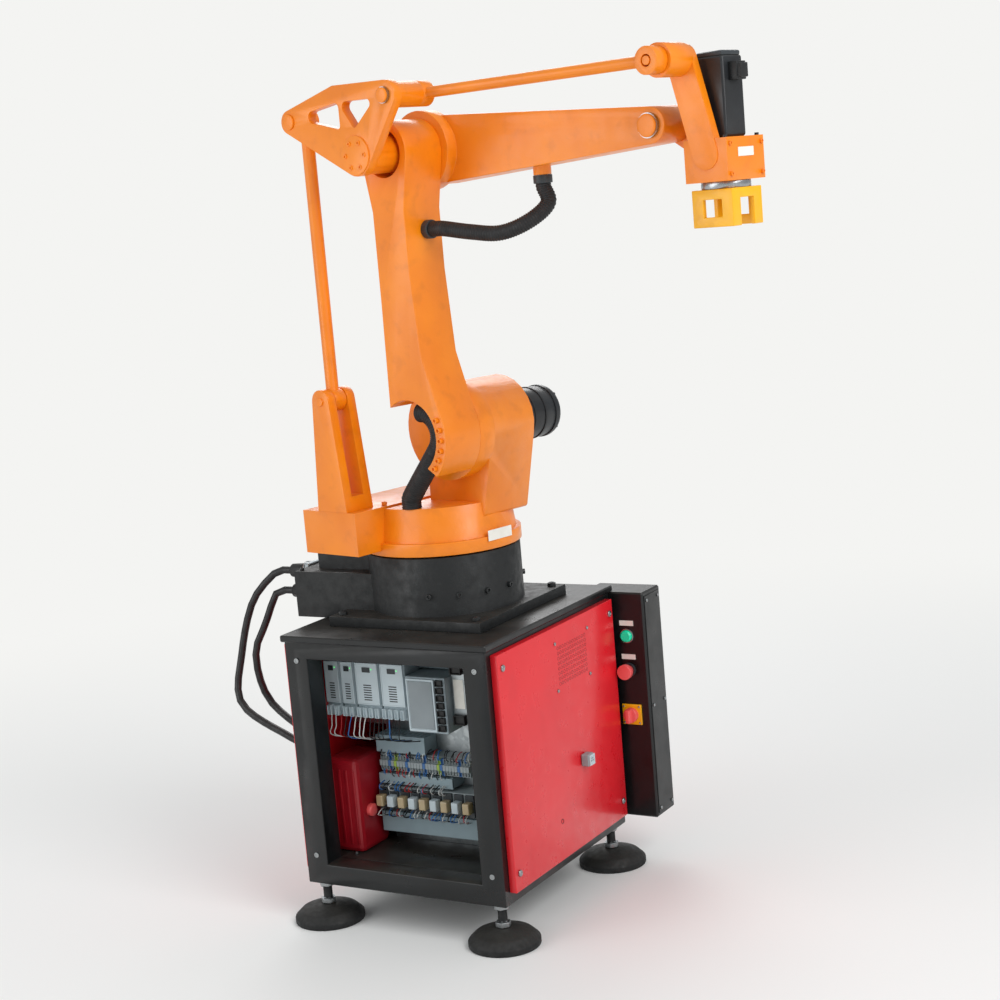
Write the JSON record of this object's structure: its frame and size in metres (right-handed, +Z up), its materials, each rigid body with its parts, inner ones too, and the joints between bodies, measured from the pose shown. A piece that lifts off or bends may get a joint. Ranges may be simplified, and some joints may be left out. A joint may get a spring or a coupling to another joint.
{
  "type": "palletising robot arm on a control-cabinet pedestal",
  "caption": "Industrial palletising robot arm with a levelling linkage, standing on a cabinet pedestal with an open electrical bay and an open tool bracket.",
  "frame": {"origin": "centre of the overall box's underside on the floor, measured without the hanging motor cables and their plugs", "axes": "+X along the cabinet's open front, towards the reach of the arm; +Y from the open front into the cabinet's depth; +Z up. The arm is turned 13 degrees towards -Y at rest"},
  "size_m": [1.5416, 0.7814, 1.966],
  "materials": {
    "orange_paint": "satin powder coat",
    "black_paint": "satin black enamel",
    "black_casting": "painted casting, fine grain",
    "red_panel": "smooth powder coat on sheet steel",
    "transformer_red": "dull enamel",
    "zinc_steel": "zinc-plated",
    "grey_plastic": "matt moulding",
    "duct_plastic": "matt moulding",
    "black_rubber": "matt rubber",
    "motor_black": "satin black",
    "yellow_paint": "satin paint",
    "green_lens": "clear green lens",
    "red_button": "gloss moulding",
    "bright_steel": "ground"
  },
  "bodies": {
    "pedestal": {"foot_front_left": "black_paint", "foot_front_right": "black_paint", "foot_back_left": "black_paint", "foot_back_right": "black_paint", "cabinet_frame": "black_paint", "top_plate": "black_paint", "floor_plate": "black_paint", "panel_left": "red_panel", "panel_right": "red_panel", "panel_back": "red_panel", "mounting_plate": "zinc_steel", "servo_drive_1": "grey_plastic", "servo_drive_2": "grey_plastic", "servo_drive_3": "grey_plastic", "servo_drive_4": "grey_plastic", "motion_controller": "grey_plastic", "upper_duct": "duct_plastic", "line_filter": "zinc_steel", "middle_duct": "duct_plastic", "terminal_row": "grey_plastic", "lower_duct": "duct_plastic", "relay_row": "grey_plastic", "bottom_duct": "duct_plastic", "transformer": "transformer_red", "control_box": "black_paint", "power_lamp": "green_lens", "stop_button": "red_button", "rotary_switch": "yellow_paint", "power_inlet": "grey_plastic", "robot_base": "black_casting", "connector_plate": "zinc_steel", "cable_plug_1": "black_rubber", "cable_plug_2": "black_rubber", "cable_gland_1": "grey_plastic", "cable_gland_2": "grey_plastic", "motor_cable_1": "black_rubber", "motor_cable_2": "black_rubber"},
    "turret": {"turret": "orange_paint", "j2_motor": "motor_black", "rear_bracket": "orange_paint", "shoulder_hose": "black_rubber"},
    "lower_arm": {"lower_arm": "orange_paint"},
    "rear_rod": {"rear_rod": "orange_paint"},
    "elbow_link": {"elbow_link": "orange_paint"},
    "elbow_pin": {"elbow_pin": "bright_steel"},
    "upper_rod": {"upper_rod": "orange_paint"},
    "forearm": {"forearm": "orange_paint", "j3_motor": "motor_black", "elbow_hose": "black_rubber"},
    "wrist_pin": {"wrist_pin": "bright_steel"},
    "wrist": {"wrist_head": "orange_paint", "j4_motor": "motor_black"},
    "tool": {"tool_flange": "zinc_steel", "tool_bracket": "yellow_paint"}
  },
  "joints": [
    {"name": "j1_turn", "type": "hinge", "parent": "pedestal", "child": "turret", "pos_m": [-0.28546, -0.0196, 0.88], "axis": [0, 0, 1], "range_deg": [-165, 165]},
    {"name": "j2_shoulder", "type": "hinge", "parent": "turret", "child": "lower_arm", "pos_m": [-0.17828, -0.04435, 1.17], "axis": [0.225, 0.9744, 0], "range_deg": [-25, 60], "deforming": ["shoulder_hose"]},
    {"name": "rear_rod_pivot", "type": "hinge", "parent": "turret", "child": "rear_rod", "pos_m": [-0.3829, 0.00289, 1.26], "axis": [0.225, 0.9744, 0], "range_deg": [-25, 60]},
    {"name": "elbow_link_pivot", "type": "hinge", "parent": "lower_arm", "child": "elbow_link", "pos_m": [-0.17828, -0.04435, 1.81], "axis": [0.225, 0.9744, 0], "range_deg": [-60, 25]},
    {"name": "j3_elbow", "type": "hinge", "parent": "lower_arm", "child": "forearm", "pos_m": [-0.17828, -0.04435, 1.81], "axis": [0.225, 0.9744, 0], "range_deg": [-15, 35], "deforming": ["elbow_hose"]},
    {"name": "elbow_pin_pivot", "type": "hinge", "parent": "elbow_link", "child": "elbow_pin", "pos_m": [-0.07597, -0.06797, 1.93], "axis": [0.225, 0.9744, 0], "range_deg": [-25, 60]},
    {"name": "upper_rod_pivot", "type": "hinge", "parent": "elbow_pin", "child": "upper_rod", "pos_m": [-0.07597, -0.06797, 1.93], "axis": [0.225, 0.9744, 0], "range_deg": [-15, 35]},
    {"name": "wrist_pin_pivot", "type": "hinge", "parent": "forearm", "child": "wrist_pin", "pos_m": [0.44532, -0.18832, 1.81], "axis": [0.225, 0.9744, 0], "range_deg": [-35, 15]},
    {"name": "wrist_level", "type": "hinge", "parent": "wrist_pin", "child": "wrist", "pos_m": [0.44532, -0.18832, 1.81], "axis": [0.225, 0.9744, 0], "range_deg": [-60, 25]},
    {"name": "j4_tool", "type": "hinge", "parent": "wrist", "child": "tool", "pos_m": [0.59455, -0.23098, 1.685], "axis": [0, 0, 1], "range_deg": [-180, 180]}
  ],
  "couplings": [
    {"joint": "rear_rod_pivot", "follows": "j2_shoulder", "ratio": 1},
    {"joint": "elbow_link_pivot", "follows": "j2_shoulder", "ratio": -1},
    {"joint": "elbow_pin_pivot", "follows": "j2_shoulder", "ratio": 1},
    {"joint": "upper_rod_pivot", "follows": "j3_elbow", "ratio": 1},
    {"joint": "wrist_pin_pivot", "follows": "j3_elbow", "ratio": -1},
    {"joint": "wrist_level", "follows": "j2_shoulder", "ratio": -1}
  ]
}
